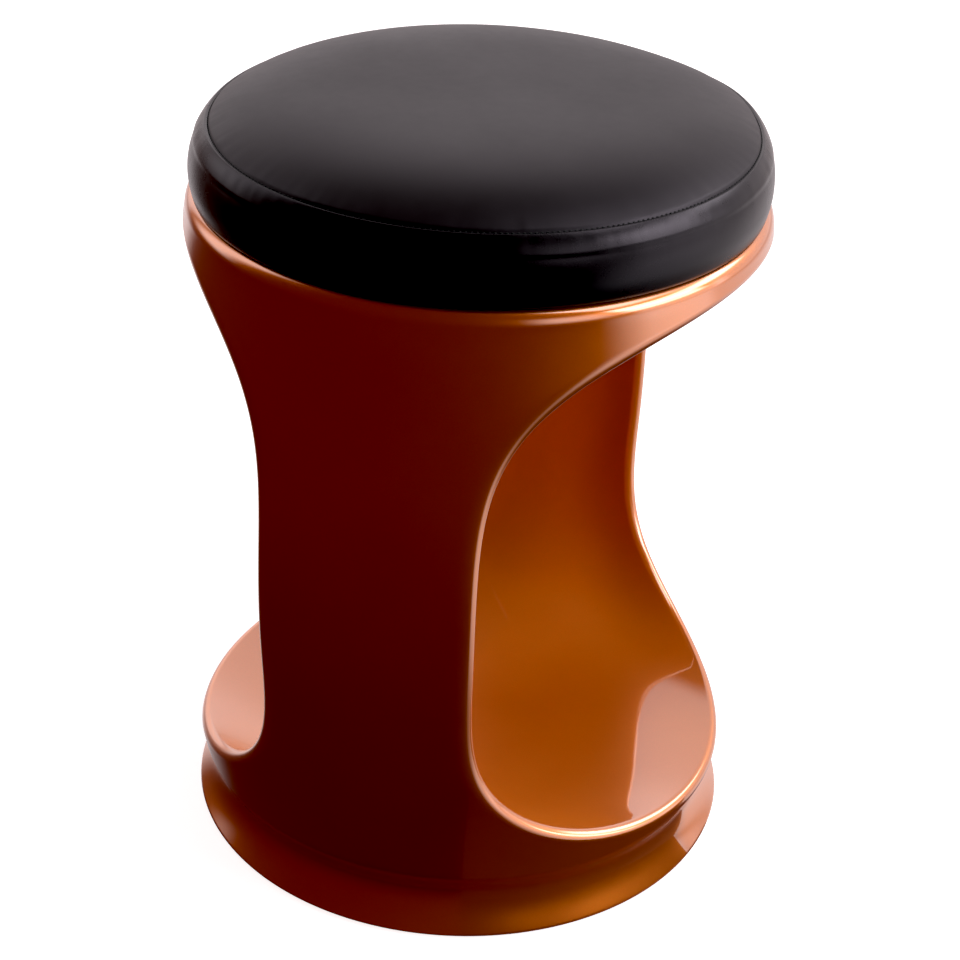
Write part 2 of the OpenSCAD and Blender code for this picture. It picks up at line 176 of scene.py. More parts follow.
class Wiring:
    """A node tree, with short calls that add nodes and feed them."""

    def __init__(self, tree: bpy.types.NodeTree) -> None:
        """Takes the tree that the calls work on."""
        self.tree = tree

    def add(
        self, kind: str, feeds: dict[str | int, object] | None = None, **settings: object
    ) -> bpy.types.Node:
        """Adds a node.

        Args:
            kind: the node's type name.
            feeds: sockets or plain values for its inputs, by identifier, name or number.
            settings: attributes to set on it first.

        Returns:
            The new node.
        """
        node = self.tree.nodes.new(kind)
        for name, value in settings.items():
            setattr(node, name, value)
        for key, value in (feeds or {}).items():
            self.feed(node, key, value)
        return node

    def feed(self, node: bpy.types.Node, key: str | int, value: object) -> None:
        """Joins a socket to a node's input, or sets the input to a plain value.

        Args:
            node: the node.
            key: identifier, name or number of the input.
            value: the socket or the value.
        """
        target = socket_of(node.inputs, key)
        if isinstance(value, Socket):
            self.tree.links.new(value, target)
        else:
            target.default_value = value

    def maths(self, operation: str, *values: object) -> Socket:
        """Adds a Math node on sockets or plain numbers and returns its result."""
        return self.add("ShaderNodeMath", dict(enumerate(values)), operation=operation).outputs[0]

    def vectors(self, operation: str, *values: object, output: str = "Vector") -> Socket:
        """Adds a Vector Math node.

        Args:
            operation: what the node does.
            values: sockets or plain values for its inputs, in order.
            output: name of the output that is wanted.

        Returns:
            That output's socket.
        """
        keys = (0, "Scale") if operation == "SCALE" else (0, 1)
        feeds = dict(zip(keys, values))
        return self.add("ShaderNodeVectorMath", feeds, operation=operation).outputs[output]

    def vector(self, x: Socket | float = 0.0, y: Socket | float = 0.0, z: Socket | float = 0.0) -> Socket:
        """Puts a vector together from sockets or plain numbers."""
        return self.add("ShaderNodeCombineXYZ", {"X": x, "Y": y, "Z": z}).outputs["Vector"]

    def ranged(
        self, value: Socket, start: Pair = (0.0, 1.0), end: Pair = (0.0, 1.0), soft: bool = False
    ) -> Socket:
        """Maps a range of a value onto a range of results.

        Args:
            value: the value's socket.
            start: the range of the value.
            end: the results at its two ends.
            soft: whether the result eases in and out.

        Returns:
            The result's socket.
        """
        keys = ("Value", "From Min", "From Max", "To Min", "To Max")
        feeds = dict(zip(keys, (value, *start, *end)))
        kind = "SMOOTHSTEP" if soft else "LINEAR"
        return self.add("ShaderNodeMapRange", feeds, interpolation_type=kind).outputs["Result"]

    def noise(self, place: Socket, scale: Socket | float, detail: float) -> Socket:
        """Adds a Noise Texture and returns its value."""
        feeds = {"Vector": place, "Scale": scale, "Detail": detail}
        return self.add("ShaderNodeTexNoise", feeds).outputs["Fac"]

    def blend(self, share: Socket, first: Socket, second: Socket) -> Socket:
        """Blends two values by a share and returns the result."""
        return self.add("ShaderNodeMix", {"Factor": share, "A": first, "B": second}).outputs["Result"]

    def colours(
        self, share: Socket | float, low: Socket | Colour, high: Socket | Colour, way: str = "MIX"
    ) -> Socket:
        """Mixes two colours.

        Args:
            share: share of the second colour, from 0 to 1.
            low: the first colour.
            high: the second colour.
            way: how they are mixed.

        Returns:
            The mixed colour's socket.
        """
        low, high = (part if isinstance(part, Socket) else (*part, 1) for part in (low, high))
        feeds = {"Factor_Float": share, "A_Color": low, "B_Color": high}
        node = self.add("ShaderNodeMix", feeds, data_type="RGBA", blend_type=way)
        return socket_of(node.outputs, "Result_Color")


class MaterialSheet(Wiring):
    """A material's node tree, with its Principled shader."""

    def __init__(self, name: str) -> None:
        """Starts a material.

        Args:
            name: the material's name.
        """
        self.material = bpy.data.materials.new(name)
        self.material.use_nodes = True
        super().__init__(self.material.node_tree)
        self.shader = self.tree.nodes["Principled BSDF"]

    def place(self) -> Socket:
        """Adds Object coordinates and returns their socket."""
        return self.add("ShaderNodeTexCoord").outputs["Object"]

    def group(self, tree: bpy.types.NodeTree, **values: float) -> bpy.types.bpy_prop_collection:
        """Places a shared node group on Object coordinates.

        Args:
            tree: the group's node tree.
            values: input values by name, with _ for a space.

        Returns:
            The group node's outputs.
        """
        feeds = {name.replace("_", " ").capitalize(): value for name, value in values.items()}
        return self.add("ShaderNodeGroup", {"Place": self.place(), **feeds}, node_tree=tree).outputs

    def bump(self, height: Socket, depth: float) -> None:
        """Feeds a height in metres, times a depth, to the shader's normal."""
        node = self.add("ShaderNodeBump", {"Height": height, "Distance": depth, "Strength": 1.0})
        self.feed(self.shader, "Normal", node.outputs["Normal"])

    def dress(self, **values: object) -> bpy.types.Material:
        """Joins or sets the shader's own inputs.

        Args:
            values: sockets or plain values by the input's name, with _ for a space.

        Returns:
            The material.
        """
        for name, value in values.items():
            self.feed(self.shader, name.replace("_", " "), value)
        return self.material


class GroupSheet(Wiring):
    """A node group, with its named inputs and outputs."""

    def __init__(self, name: str, kind: str, inputs: dict[str, str], outputs: dict[str, str]) -> None:
        """Starts a group.

        Args:
            name: the group's name.
            kind: type name of its tree.
            inputs: socket types of its inputs, by name.
            outputs: socket types of its outputs, by name.
        """
        super().__init__(bpy.data.node_groups.new(name, kind))
        new_socket = self.tree.interface.new_socket
        self.identifiers = {
            key: new_socket(key, in_out="INPUT", socket_type="NodeSocket" + kind_of).identifier
            for key, kind_of in inputs.items()
        }
        for key, kind_of in outputs.items():
            new_socket(key, in_out="OUTPUT", socket_type="NodeSocket" + kind_of)
        self.entry = self.add("NodeGroupInput").outputs
        self.result = self.add("NodeGroupOutput")

    def hand_over(self, geometry: Socket, finish: bpy.types.Material) -> None:
        """Ends a geometry tree with plain meshes in their material.

        Args:
            geometry: the finished geometry.
            finish: its material.
        """
        real = self.add("GeometryNodeRealizeInstances", {"Geometry": geometry}).outputs["Geometry"]
        dressed = self.add("GeometryNodeSetMaterial", {"Geometry": real, "Material": finish})
        self.feed(self.result, "Geometry", dressed.outputs["Geometry"])

    def apply(self, name: str, mesh: bpy.types.Mesh, values: dict[str, float]) -> bpy.types.Object:
        """Runs a geometry tree on a mesh.

        Args:
            name: name of the new object.
            mesh: the mesh that the tree starts from.
            values: values of its inputs, by name.

        Returns:
            The object, with the result as a plain mesh and no modifiers.
        """
        made = placed(name, mesh)
        worker = made.modifiers.new(name, "NODES")
        worker.node_group = self.tree
        for key, value in values.items():
            worker[self.identifiers[key]] = value
        return baked(made)


# Effects that several finishes share


class Effects:
    """Node groups that the finishes share, each built once."""

    def __init__(self) -> None:
        """Builds the groups."""
        self.mottle = self.build_mottle()
        self.pores = self.build_pores()

    @staticmethod
    def build_mottle() -> bpy.types.NodeTree:
        """Builds soft cloudy variation in two sizes, of which the fine one is nine times finer.

        Returns:
            A group with the output Share, from 0 to 1.
        """
        types = {"Place": "Vector", "Scale": "Float", "Fine share": "Float"}
        sheet = GroupSheet("soft_mottle", "ShaderNodeTree", types, {"Share": "Float"})
        place, scale = sheet.entry["Place"], sheet.entry["Scale"]
        broad = sheet.noise(place, scale, 2.0)
        fine = sheet.noise(place, sheet.maths("MULTIPLY", scale, 9.0), 3.0)
        mixed = sheet.blend(sheet.entry["Fine share"], broad, fine)
        sheet.feed(sheet.result, "Share", sheet.ranged(mixed, (0.3, 0.7)))
        return sheet.tree

    @staticmethod
    def build_pores() -> bpy.types.NodeTree:
        """Builds fine pebbled grain, as on leather, felt and foam.

        Returns:
            A group with the outputs Height and Creases, each from 0 to 1.
        """
        types = {"Place": "Vector", "Scale": "Float", "Wander": "Float"}
        results = {"Height": "Float", "Creases": "Float"}
        sheet = GroupSheet("pebble_grain", "ShaderNodeTree", types, results)
        place, scale = sheet.entry["Place"], sheet.entry["Scale"]
        feeds = {"Vector": place, "Scale": scale}
        cells = sheet.add("ShaderNodeTexVoronoi", feeds, feature="DISTANCE_TO_EDGE")
        pebbles = sheet.ranged(cells.outputs["Distance"], (0.0, 0.28), soft=True)
        height = sheet.blend(sheet.entry["Wander"], pebbles, sheet.noise(place, scale, 3.0))
        sheet.feed(sheet.result, "Height", height)
        sheet.feed(sheet.result, "Creases", sheet.maths("SUBTRACT", 1.0, pebbles))
        return sheet.tree


# Finishes


@dataclass(frozen=True)
class CopperLacquer:
    """Metallic copper-orange lacquer under a deep clear coat."""

    deep: Colour = (0.70, 0.190, 0.018)
    bright: Colour = (0.75, 0.215, 0.022)
    roughness: Pair = (0.30, 0.34)
    cloud_scale: float = 14.0
    flake_scale: float = 2600.0
    flake_share: float = 0.08
    ripple_scale: float = 55.0
    ripple_depth: float = 0.00004
    coat: Pair = (0.07, 1.0)
    coat_turn: Pair = (-0.6, -0.05)
    metal: Pair = (0.25, 0.92)
    metal_turn: Pair = (-0.3, 0.3)

    def build(self, effects: Effects) -> bpy.types.Material:
        """Builds the material, with a thin coat and less metal on the faces in the tunnel.

        Args:
            effects: the shared node groups.

        Returns:
            The material.
        """
        sheet = MaterialSheet("copper_lacquer")
        share = sheet.group(effects.mottle, scale=self.cloud_scale, fine_share=0.2)["Share"]
        feeds = {"Vector": sheet.place(), "Scale": self.flake_scale}
        flakes = sheet.add("ShaderNodeTexVoronoi", feeds).outputs["Color"]
        base = sheet.colours(share, self.deep, self.bright)
        facing = self.facing(sheet)
        sheet.bump(sheet.noise(sheet.place(), self.ripple_scale, 1.0), self.ripple_depth)
        return sheet.dress(
            Base_Color=sheet.colours(self.flake_share, base, flakes, "MULTIPLY"),
            Roughness=sheet.ranged(share, end=self.roughness),
            Metallic=sheet.ranged(facing, self.metal_turn, self.metal, soft=True),
            Coat_Weight=sheet.ranged(facing, self.coat_turn, self.coat, soft=True),
            Coat_Roughness=0.03,
            Coat_IOR=2.4,
        )

    @staticmethod
    def facing(sheet: MaterialSheet) -> Socket:
        """Tells how far a face looks away from the stool's upright axis.

        Args:
            sheet: the material's sheet.

        Returns:
            A socket that runs from -1 on the walls' faces in the tunnel to 1 outside.
        """
        place = sheet.add("ShaderNodeTexCoord").outputs
        outwards = sheet.vectors("NORMALIZE", sheet.vectors("MULTIPLY", place["Object"], (1.0, 1.0, 0.0)))
        return sheet.vectors("DOT_PRODUCT", outwards, place["Normal"], output="Value")


@dataclass(frozen=True)
class BlackLeather:
    """Smooth black leather with a fine pebble grain."""

    name: str
    deep: Colour = (0.0050, 0.0050, 0.0054)
    worn: Colour = (0.0095, 0.0092, 0.0100)
    roughness: Pair = (0.25, 0.31)
    specular: float = 0.36
    grain_depth: float = 0.000012

    def build(self, effects: Effects) -> bpy.types.Material:
        """Builds the material.

        Args:
            effects: the shared node groups.

        Returns:
            The material.
        """
        sheet = MaterialSheet(self.name)
        share = sheet.group(effects.mottle, scale=16.0, fine_share=0.35)["Share"]
        sheet.bump(sheet.group(effects.pores, scale=1100.0, wander=0.45)["Height"], self.grain_depth)
        return sheet.dress(
            Base_Color=sheet.colours(share, self.deep, self.worn),
            Roughness=sheet.ranged(share, end=self.roughness),
            Specular_IOR_Level=self.specular,
            Specular_Tint=(0.98, 0.88, 1.0, 1.0),
        )


@dataclass(frozen=True)
class PlainFinish:
    """A finish with cloudy colour, some roughness and a fine relief."""

    name: str
    low: Colour
    high: Colour
    roughness: Pair
    metallic: float = 0.0
    grain_depth: float = 0.00004

    def build(self, effects: Effects) -> bpy.types.Material:
        """Builds the material.

        Args:
            effects: the shared node groups.

        Returns:
            The material.
        """
        sheet = MaterialSheet(self.name)
        share = sheet.group(effects.mottle, scale=30.0, fine_share=0.4)["Share"]
        grain = sheet.group(effects.pores, scale=1500.0, wander=0.6)
        sheet.bump(grain["Height"], self.grain_depth)
        return sheet.dress(
            Base_Color=sheet.colours(share, self.low, self.high),
            Roughness=sheet.ranged(grain["Creases"], end=self.roughness),
            Metallic=self.metallic,
        )


@dataclass(frozen=True)
class Plywood:
    """Raw plywood with long grain and glued layers at its edge."""

    pale: Colour = (0.62, 0.45, 0.27)
    brown: Colour = (0.42, 0.27, 0.14)
    stretch: Colour = (1.0, 9.0, 60.0)
    roughness: Pair = (0.55, 0.75)

    def build(self, effects: Effects) -> bpy.types.Material:
        """Builds the material.

        Args:
            effects: the shared node groups.

        Returns:
            The material.
        """
        sheet = MaterialSheet("plywood")
        mapping = sheet.add("ShaderNodeMapping", {"Vector": sheet.place(), "Scale": self.stretch})
        rings = sheet.noise(mapping.outputs["Vector"], 22.0, 6.0)
        grain = sheet.group(effects.pores, scale=900.0, wander=0.7)
        sheet.bump(rings, 0.0002)
        return sheet.dress(
            Base_Color=sheet.colours(rings, self.pale, self.brown),
            Roughness=sheet.ranged(grain["Creases"], end=self.roughness),
        )


@dataclass(frozen=True)
class PaleFloor:
    """Plain studio surface that is a little luminous."""

    name: str = "pale_floor"
    low: Colour = (0.80, 0.80, 0.80)
    high: Colour = (0.82, 0.82, 0.82)
    glow: float = 0.85
    light: Colour = (1.0, 1.0, 1.0)

    def build(self, effects: Effects) -> bpy.types.Material:
        """Builds the material.

        Args:
            effects: the shared node groups.

        Returns:
            The material.
        """
        sheet = MaterialSheet(self.name)
        share = sheet.group(effects.mottle, scale=2.0, fine_share=0.3)["Share"]
        return sheet.dress(
            Base_Color=sheet.colours(share, self.low, self.high),
            Roughness=0.9,
            Specular_IOR_Level=0.1,
            Emission_Color=(*self.light, 1.0),
            Emission_Strength=self.glow,
        )


# The moulded body


class Half(Enum):
    """Which of the two equal halves of the body, with the opening at +X or at -X."""

    FRONT = 1.0
    BACK = -1.0


@dataclass
class MouldedBody:
    """The one-piece body: rim, two walls, floor, lips, groove and foot, in metres.

    The turns are in degrees, round an opening's rounded edge from the outer skin. The widening pairs
    are where the edge starts to widen, and over what share of its way it does.
    """

    body_top: float = 0.403
    brow_radius: float = 0.164
    lip_radius: float = 0.1622
    belly: float = 0.0185
    squareness: float = 0.3
    shoulder_radius: float = 0.0078
    wall_thickness: float = 0.010
    edge_spread: float = 0.006
    upper_widening: Pair = (0.05, 0.45)
    lower_widening: Pair = (0.32, 0.4)
    half_angle: float = math.radians(71.8)
    waist_z: float = 0.194
    lip_z: float = 0.0449
    brow_drop: float = 0.0109
    floor_dip: float = 0.008
    upper_fullness: Pair = (2.3, 4.8)
    lower_fullness: Pair = (2.4, 3.5)
    tunnel_fullness: Pair = (2.5, 4.0)
    brow_turn: float = 95.0
    lip_turn: float = 102.0
    wall_turn: float = 186.0
    lining_reach: float = 0.4
    corner_share: float = 0.5
    frame_bias: float = 1.5
    skin_bias: float = 1.3
    foot_radius: float = 0.165
    foot_bottom: float = 0.002
    foot_round: float = 0.001
    groove_radius: float = 0.1545
    groove_z: float = 0.026
    hollow_radius: float = 0.146
    hollow_corner: float = 0.003
    hollow_cut: float = 0.0009
    floor_thickness: float = 0.012
    bolts: int = 4
    bolt_ring: float = 0.085
    counterbore: float = 0.0085
    bolt_hole: float = 0.0033
    washer_seat: float = 0.394
    cut_past: float = 0.001
    rim_step: float = 0.00005
    edge_steps: int = 96
    skin_rings: int = 40
    nose_rings: int = 18
    lining_rings: int = 42
    brow_z: float = field(init=False)
    edge_radius: float = field(init=False)
    floor_z: float = field(init=False)
    ceiling_z: float = field(init=False)

    def __post_init__(self) -> None:
        """Works out the sizes that follow from the others."""
        self.edge_radius = self.wall_thickness / 2
        self.brow_z = self.body_top - self.brow_drop
        self.ceiling_z = self.brow_z - self.edge_radius
        self.floor_z = self.lip_z + self.edge_radius - self.floor_dip

    def skin_radius(self, phi: np.ndarray, z: np.ndarray) -> np.ndarray:
        """Radius of the outer skin.

        Args:
            phi: plan angles, in radians.
            z: heights.

        Returns:
            A radius for each angle and height.
        """
        span = self.brow_z - self.lip_z
        rise = np.clip((z - self.lip_z) / span, 0, 1)
        swell = np.sin(np.pi * rise)
        slope = np.pi * self.belly / span
        low = self.lip_z - self.groove_z
        s = np.clip((z - self.groove_z) / low, 0, 1)
        cove = (self.lip_radius - self.groove_radius) * (1 + np.cos(np.pi * s)) / 2
        cove = cove + slope * low * s * s * (1 - s)
        high = self.body_top - self.brow_z
        t = np.clip((z - self.brow_z) / high, 0, 1)
        ease = slope * high * (t - t * t / 2)
        u = np.clip((z - self.body_top + self.shoulder_radius) / self.shoulder_radius, 0, 1)
        shoulder = self.shoulder_radius * (1 - np.sqrt(1 - u * u))
        radius = (
            self.lip_radius
            + (self.brow_radius - self.lip_radius) * rise
            + self.belly * swell
            - cove
            - ease
            - shoulder
        )
        power = 2 + self.squareness * swell**1.5
        return radius / (np.abs(np.cos(phi)) ** power + np.abs(np.sin(phi)) ** power) ** (1 / power)

    def skin_point(self, phi: np.ndarray, z: np.ndarray) -> np.ndarray:
        """Points of the outer skin at plan angles and heights."""
        r = self.skin_radius(phi, z)
        return np.stack([r * np.cos(phi), r * np.sin(phi), np.broadcast_to(z, r.shape)], axis=-1)

    def skin_normal(self, phi: np.ndarray, z: np.ndarray) -> np.ndarray:
        """Outward normals of the outer skin, from points a little way round and up.

        Args:
            phi: plan angles, in radians.
            z: heights.

        Returns:
            A unit vector for each angle and height.
        """
        step_phi, step_z = 1e-3, 1e-4
        along = self.skin_point(phi + step_phi, z) - self.skin_point(phi - step_phi, z)
        up = self.skin_point(phi, z + step_z) - self.skin_point(phi, z - step_z)
        normal = np.cross(along, up)
        return normal / np.linalg.norm(normal, axis=-1, keepdims=True)

    def station(self, k: np.ndarray) -> tuple[np.ndarray, np.ndarray, np.ndarray, np.ndarray]:
        """Where stations lie on an opening's edge, which runs from the brow round by +Y to the lip.

        Args:
            k: stations, from 0 at the brow's middle to 4 edge steps.

        Returns:
            The side (+1 or -1), whether the station is in the upper half, its share of the way to the
            waist, and its turn angle in radians.
        """
        side = np.where(k <= 2 * self.edge_steps, 1.0, -1.0)
        half = np.where(side > 0, k, 4 * self.edge_steps - k)
        upper = half <= self.edge_steps
        share = np.where(upper, half, 2 * self.edge_steps - half) / self.edge_steps
        return side, upper, share, np.pi / 2 * np.sin(np.pi / 2 * share)

    def edge(self, k: np.ndarray) -> tuple[np.ndarray, np.ndarray]:
        """Plan angle and height of the opening's edge on the outer skin.

        Args:
            k: stations.

        Returns:
            Plan angles and heights.
        """
        side, upper, _, turn = self.station(k)
        across = np.where(upper, self.upper_fullness[0], self.lower_fullness[0])
        up = np.where(upper, self.upper_fullness[1], self.lower_fullness[1])
        end = np.where(upper, self.brow_z, self.lip_z)
        phi = side * self.half_angle * np.clip(np.sin(turn), 0, 1) ** (2 / across)
        z = self.waist_z + (end - self.waist_z) * np.clip(np.cos(turn), 0, 1) ** (2 / up)
        return phi, z

    def tangents(self, k: np.ndarray) -> np.ndarray:
        """Unit vectors along the opening's edge.

        Args:
            k: stations.

        Returns:
            A vector for each station.
        """
        step = 0.02
        tangent = self.skin_point(*self.edge(k + step)) - self.skin_point(*self.edge(np.maximum(k - step, 0)))
        tangent[0] = (0, 1, 0)
        return tangent / np.linalg.norm(tangent, axis=-1, keepdims=True)

    def widening(self, upper: np.ndarray, share: np.ndarray) -> np.ndarray:
        """How far the edge is widened at its stations.

        Args:
            upper: whether each station is in the upper half.
            share: its share of the way to the waist.

        Returns:
            A width for each station.
        """
        above, below = (
            (share - start) / length for start, length in (self.upper_widening, self.lower_widening)
        )
        rise = np.clip(np.where(upper, above, below), 0, 1)
        return self.edge_spread * rise * rise * (3 - 2 * rise)

    def sections(self) -> np.ndarray:
        """Cross-sections of one half, from the rim or groove over the rounded edge to the plane x = 0.

        Returns:
            Points by station, ring and axis.
        """
        k = np.arange(4 * self.edge_steps, dtype=float)
        side, upper, share, turn = self.station(k)
        phi, z = self.edge(k)
        away = np.clip(share - self.corner_share, 0, None) / self.corner_share
        top = self.body_top - self.shoulder_radius * 0.01
        frame_phi = side * np.pi / 2 * np.minimum(1, share / self.corner_share)
        frame_end = np.where(upper, top, self.groove_z)
        frame_z = frame_end + (self.waist_z - frame_end) * away**self.frame_bias
        tangent = self.tangents(k)
        free = np.cross(tangent, self.skin_normal(phi, z))
        free /= np.linalg.norm(free, axis=-1, keepdims=True)
        spread = self.widening(upper, share)
        first = self.skin_point(phi, z) - free * spread[:, None]
        phi = np.arctan2(first[:, 1], first[:, 0])
        z = first[:, 2]
        f = (np.arange(self.skin_rings) / self.skin_rings)[None, :] ** self.skin_bias
        skin = self.skin_point(
            frame_phi[:, None] + (phi - frame_phi)[:, None] * f,
            frame_z[:, None] + (z - frame_z)[:, None] * f,
        )
        out = self.skin_normal(phi, z)
        free = np.cross(tangent, out)
        free /= np.linalg.norm(free, axis=-1, keepdims=True)
        start = np.radians(np.where(upper, self.brow_turn, self.lip_turn))
        full = start + (np.radians(self.wall_turn) - start) * np.sin(turn) ** 2
        angle = full[:, None] * np.linspace(0, 1, self.nose_rings + 1)[None, :]
        wide = spread[:, None] * np.where(angle < np.pi / 2, np.sin(angle), 1.0)
        nose = (
            self.skin_point(phi, z)[:, None]
            + out[:, None] * (self.edge_radius * (np.cos(angle) - 1))[..., None]
            + free[:, None] * (self.edge_radius * np.sin(angle) + wide)[..., None]
        )
        leave = free * np.cos(full)[:, None] - out * np.sin(full)[:, None]
        lining = self.lining(k, nose[:, -1], leave)
        return np.concatenate([skin, nose, lining], axis=1)

    def lining(self, k: np.ndarray, first: np.ndarray, leave: np.ndarray) -> np.ndarray:
        """The tunnel's lining, in one curve from each station of the edge to the plane x = 0.

        Args:
            k: stations.
            first: the curves' first points.
            leave: directions in which they leave the edge.

        Returns:
            Points by station, ring and axis, without the first points.
        """
        side, upper, _, turn = self.station(k)
        middle_end = np.where(upper, self.ceiling_z, self.floor_z)
        across, up = self.tunnel_fullness
        z = self.waist_z + (middle_end - self.waist_z) * np.clip(np.cos(turn), 0, 1) ** (2 / up)
        wall = self.skin_radius(np.full_like(k, np.pi / 2), np.maximum(z, self.lip_z))
        y = side * (wall - self.wall_thickness) * np.sin(turn) ** (2 / across)
        end = np.stack([np.zeros_like(k), y, z], axis=-1)
        reach = self.lining_reach * np.linalg.norm(end - first, axis=-1)[:, None]
        second = first + leave * reach
        third = end + np.array([1.0, 0.0, 0.0]) * reach
        g = np.linspace(0, 1, self.lining_rings + 1)[1:][None, :, None]
        return (
            first[:, None] * (1 - g) ** 3
            + second[:, None] * 3 * g * (1 - g) ** 2
            + third[:, None] * 3 * g * g * (1 - g)
            + end[:, None] * g**3
        )

    def base_profile(self) -> np.ndarray:
        """Profile from the groove down over the foot and up into the hollow.

        Returns:
            Radius and height of each ring.
        """
        s = np.linspace(0, 1, 25)[:-1]
        turn = np.linspace(0, np.pi / 2, 5)
        flare_end = self.foot_bottom + self.foot_round
        flare = [
            self.groove_radius + (self.foot_radius - self.groove_radius) * (1 - np.cos(np.pi / 2 * s)),
            self.groove_z + (flare_end - self.groove_z) * s,
        ]
        rounding = [
            self.foot_radius - self.foot_round * (1 - np.cos(turn)),
            self.foot_bottom + self.foot_round * (1 - np.sin(turn)),
        ]
        top = self.floor_z - self.floor_thickness
        hollow = [
            [self.hollow_radius, self.foot_bottom],
            [self.hollow_radius, top - self.hollow_corner],
            [self.hollow_radius - self.hollow_cut, top - self.hollow_cut],
            [self.hollow_radius - self.hollow_corner, top],
            [self.hollow_radius / 2, top],
            [0.0, top],
        ]
        return np.vstack([np.stack(flare, axis=-1), np.stack(rounding, axis=-1), hollow])

    def top_profile(self) -> np.ndarray:
        """Profile from the rim's rounding to the middle of the flat top.

        Returns:
            Radius and height of each ring.
        """
        inner = self.brow_radius - self.shoulder_radius - 0.001
        height = self.body_top - self.rim_step
        rim = float(self.skin_radius(np.array(np.pi / 2), np.array(height)))
        return np.array([[rim, height], *([radius, self.body_top] for radius in (inner, inner / 2, 0.0))])

    def build(self) -> bpy.types.Object:
        """Builds the whole body as one closed mesh.

        Returns:
            The body, with its counterbored bolt holes.
        """
        half = self.sections()
        stations, rings = half.shape[:2]
        points: list[np.ndarray] = []
        faces: list[tuple[int, ...]] = []
        count = 0
        for which in Half:
            turned = half * np.array([which.value, which.value, 1.0])
            points.append(turned.reshape(-1, 3))
            faces += [
                (
                    count + k * rings + j,
                    count + ((k + 1) % stations) * rings + j,
                    count + ((k + 1) % stations) * rings + j + 1,
                    count + k * rings + j + 1,
                )
                for k in range(stations)
                for j in range(rings - 1)
            ]
            count += stations * rings
        angles = np.linspace(-np.pi / 2, 3 * np.pi / 2, 2 * self.edge_steps, endpoint=False)
        ring = np.stack([np.cos(angles), np.sin(angles)], axis=-1)
        for profile in (self.base_profile(), self.top_profile()):
            heights = np.broadcast_to(profile[:, None, 1:], (len(profile), len(ring), 1))
            block = np.concatenate([profile[:, None, :1] * ring[None], heights], axis=-1)
            points.append(block.reshape(-1, 3))
            faces += grid_faces(len(profile), len(ring), count)
            count += len(profile) * len(ring)
        body = mesh_object("moulded_body", np.vstack(points), faces)
        self.drill(body)
        smooth(body, 50)
        return body

    def drill(self, body: bpy.types.Object) -> None:
        """Cuts the counterbored bolt holes, up through the tunnel's ceiling.

        Args:
            body: the body to cut.
        """
        profile = [
            [0.0, self.waist_z],
            [self.counterbore, self.waist_z],
            [self.counterbore, self.washer_seat],
            [self.bolt_hole, self.washer_seat],
            [self.bolt_hole, self.body_top + self.cut_past],
            [0.0, self.body_top + self.cut_past],
        ]
        cutter = revolved("bolt_hole_cutter", np.array(profile), 32)
        base = cutter.data.copy()
        sheet = bmesh.new()
        for i in range(self.bolts):
            angle = math.radians(45 + 360 / self.bolts * i)
            moved = base.copy()
            shift = (self.bolt_ring * math.cos(angle), self.bolt_ring * math.sin(angle), 0)
            moved.transform(Matrix.Translation(shift))
            sheet.from_mesh(moved)
            bpy.data.meshes.remove(moved)
        sheet.to_mesh(cutter.data)
        sheet.free()
        cut = body.modifiers.new("bolt_holes", "BOOLEAN")
        cut.operation = "DIFFERENCE"
        cut.solver = "MANIFOLD"
        cut.object = cutter
        baked(body)
        bpy.data.objects.remove(cutter)


# The cushion


